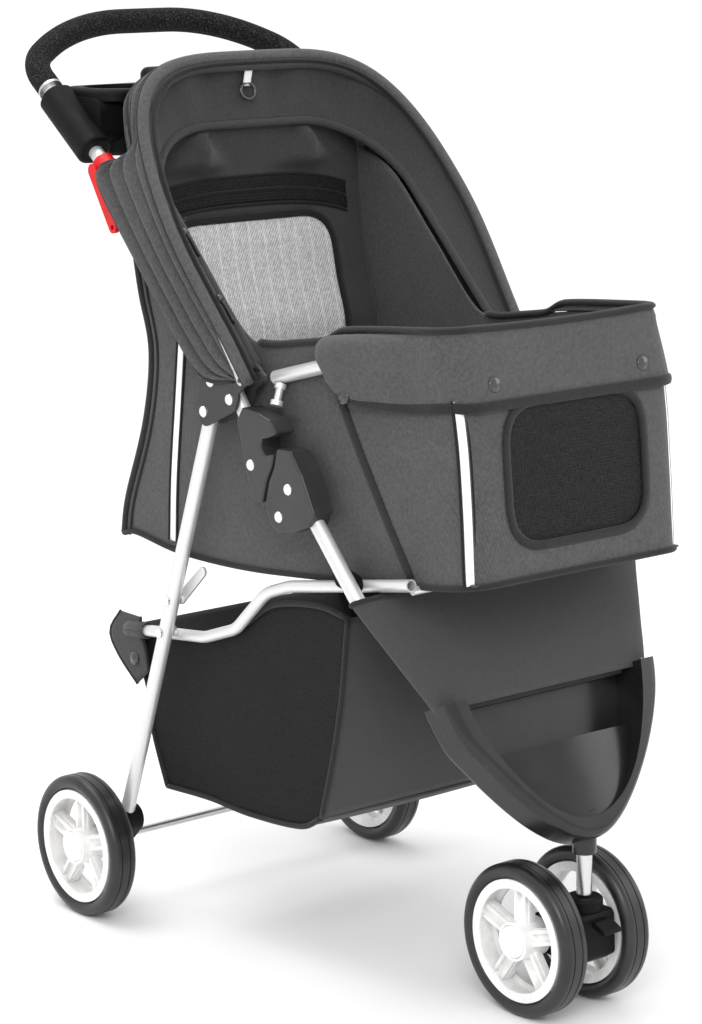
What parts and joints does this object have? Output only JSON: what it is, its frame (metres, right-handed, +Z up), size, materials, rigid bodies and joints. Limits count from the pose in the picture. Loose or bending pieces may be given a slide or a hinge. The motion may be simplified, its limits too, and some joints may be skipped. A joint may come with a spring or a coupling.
{
  "type": "pet stroller",
  "caption": "Folding three-wheel pet stroller with a fabric cabin, pull-over canopy, storage basket, parent console and swivelling twin front wheel.",
  "frame": {"origin": "on the floor, below the middle of the whole object's box", "axes": "+Z up, -Y to the front of the stroller, +X to its left side"},
  "size_m": [0.4262, 0.7421, 0.935],
  "materials": {
    "black_plastic": "fine moulded texture",
    "board": "covered board",
    "charcoal_fabric": "twill polyester",
    "charcoal_plate": "charcoal paint",
    "foam": "speckled foam",
    "gloss_black_plastic": "satin gloss",
    "latch_plastic": "moulded nylon",
    "red_plastic": "satin gloss",
    "rim_white": "satin moulded",
    "rivet_steel": "bright",
    "silver_tube": "silver powder coat",
    "tyre": "smooth",
    "webbing": "woven webbing",
    "zinc_steel": "zinc plated"
  },
  "bodies": {
    "rear_frame": {"rear_leg_left": "silver_tube", "rear_leg_right": "silver_tube", "brake_housing_left": "black_plastic", "brake_housing_right": "black_plastic", "rear_axle": "zinc_steel", "rear_leg_rivets": "rivet_steel", "cabin_struts": "silver_tube", "cabin_shell": "charcoal_fabric", "floor_board": "board", "floor_mat": "board", "storage_basket": "charcoal_fabric"},
    "handle_frame": {"handle_tube": "silver_tube", "foam_grip": "foam", "grip_end_rings": "zinc_steel", "hinge_plates": "charcoal_plate", "hinge_plate_rivets": "rivet_steel", "parent_console": "black_plastic", "release_collar": "red_plastic", "tether_straps": "webbing", "canopy_cloth": "charcoal_fabric"},
    "upper_links": {"upper_link_left": "silver_tube", "upper_link_right": "silver_tube", "latch_upper_left": "latch_plastic", "latch_upper_right": "latch_plastic", "latch_upper_rivets": "rivet_steel"},
    "front_frame": {"front_leg_left": "silver_tube", "front_leg_right": "silver_tube", "latch_lower_left": "latch_plastic", "latch_lower_right": "latch_plastic", "latch_lower_rivets": "rivet_steel", "front_tray": "gloss_black_plastic", "leg_sleeve": "charcoal_fabric", "caster_stem": "zinc_steel"},
    "basket_frame": {"basket_rail_left": "silver_tube", "basket_rail_right": "silver_tube", "rail_clips": "black_plastic", "rail_cross_bar": "silver_tube"},
    "bumper": {"bumper_bar": "silver_tube", "bumper_posts": "silver_tube"},
    "front_bow": {"canopy_front_bow": "zinc_steel"},
    "seam_bow": {"canopy_seam_bow": "zinc_steel"},
    "caster": {"caster_block": "black_plastic", "caster_cap": "black_plastic", "front_axle": "zinc_steel"},
    "swivel_lock": {"swivel_lock_lever": "black_plastic"},
    "fold_release": {"release_lever": "red_plastic"},
    "brake_pedal_l": {"brake_pedal_left": "red_plastic"},
    "brake_pedal_r": {"brake_pedal_right": "red_plastic"},
    "rear_wheel_left": {"rear_left_tyre": "tyre", "rear_left_rim": "rim_white", "rear_left_hub_cap": "rim_white"},
    "rear_wheel_right": {"rear_right_tyre": "tyre", "rear_right_rim": "rim_white", "rear_right_hub_cap": "rim_white"},
    "front_wheel_left": {"front_left_tyre": "tyre", "front_left_rim": "rim_white", "front_left_hub_cap": "rim_white"},
    "front_wheel_right": {"front_right_tyre": "tyre", "front_right_rim": "rim_white", "front_right_hub_cap": "rim_white"}
  },
  "joints": [
    {"name": "frame_fold", "type": "hinge", "parent": "rear_frame", "child": "handle_frame", "pos_m": [0, 0.009, 0.562], "axis": [-1, 0, 0], "range_deg": [0, 95], "deforming": ["cabin_shell", "floor_board", "floor_mat", "storage_basket", "canopy_cloth"]},
    {"name": "link_pivot", "type": "hinge", "parent": "handle_frame", "child": "upper_links", "pos_m": [0, -0.033, 0.579], "axis": [1, 0, 0], "range_deg": [0, 9.32]},
    {"name": "knee_fold", "type": "hinge", "parent": "upper_links", "child": "front_frame", "pos_m": [0, -0.1085, 0.476], "axis": [1, 0, 0], "range_deg": [0, 135.86]},
    {"name": "rail_pivot", "type": "hinge", "parent": "rear_frame", "child": "basket_frame", "pos_m": [0, 0.1018, 0.322], "axis": [-1, 0, 0], "range_deg": [0, 36.11]},
    {"name": "bumper_tilt", "type": "hinge", "parent": "upper_links", "child": "bumper", "pos_m": [0, -0.082, 0.573], "axis": [1, 0, 0], "range_deg": [0, 57.01]},
    {"name": "canopy_pull", "type": "hinge", "parent": "handle_frame", "child": "front_bow", "pos_m": [0, -0.054, 0.6], "axis": [1, 0, 0], "range_deg": [0, 70], "deforming": ["canopy_cloth"]},
    {"name": "seam_bow_pivot", "type": "hinge", "parent": "handle_frame", "child": "seam_bow", "pos_m": [0, -0.054, 0.6], "axis": [1, 0, 0], "range_deg": [0, 35]},
    {"name": "caster_swivel", "type": "hinge", "parent": "front_frame", "child": "caster", "pos_m": [0, -0.335, 0.11], "axis": [0, 0, 1], "continuous": true},
    {"name": "swivel_lock_flip", "type": "hinge", "parent": "caster", "child": "swivel_lock", "pos_m": [0, -0.3605, 0.098], "axis": [-1, 0, 0], "range_deg": [0, 30]},
    {"name": "release_pull", "type": "hinge", "parent": "handle_frame", "child": "fold_release", "pos_m": [0, 0.182, 0.784], "axis": [1, 0, 0], "range_deg": [0, 35], "stiffness_Nm_per_rad": 0.5},
    {"name": "front_wheel_left_spin", "type": "hinge", "parent": "caster", "child": "front_wheel_left", "pos_m": [0, -0.296, 0.075], "axis": [1, 0, 0], "continuous": true},
    {"name": "rear_wheel_left_spin", "type": "hinge", "parent": "rear_frame", "child": "rear_wheel_left", "pos_m": [0, 0.218, 0.075], "axis": [1, 0, 0], "continuous": true},
    {"name": "brake_left_press", "type": "hinge", "parent": "rear_frame", "child": "brake_pedal_l", "pos_m": [0, 0.222, 0.108], "axis": [-1, 0, 0], "range_deg": [0, 20]},
    {"name": "front_wheel_right_spin", "type": "hinge", "parent": "caster", "child": "front_wheel_right", "pos_m": [0, -0.296, 0.075], "axis": [1, 0, 0], "continuous": true},
    {"name": "rear_wheel_right_spin", "type": "hinge", "parent": "rear_frame", "child": "rear_wheel_right", "pos_m": [0, 0.218, 0.075], "axis": [1, 0, 0], "continuous": true},
    {"name": "brake_right_press", "type": "hinge", "parent": "rear_frame", "child": "brake_pedal_r", "pos_m": [0, 0.222, 0.108], "axis": [-1, 0, 0], "range_deg": [0, 20]}
  ],
  "couplings": [
    {"joint": "link_pivot", "follows": "frame_fold", "ratio": 0.098},
    {"joint": "knee_fold", "follows": "frame_fold", "ratio": 1.43},
    {"joint": "rail_pivot", "follows": "frame_fold", "ratio": 0.38},
    {"joint": "bumper_tilt", "follows": "frame_fold", "ratio": 0.6},
    {"joint": "seam_bow_pivot", "follows": "canopy_pull", "ratio": 0.5}
  ]
}
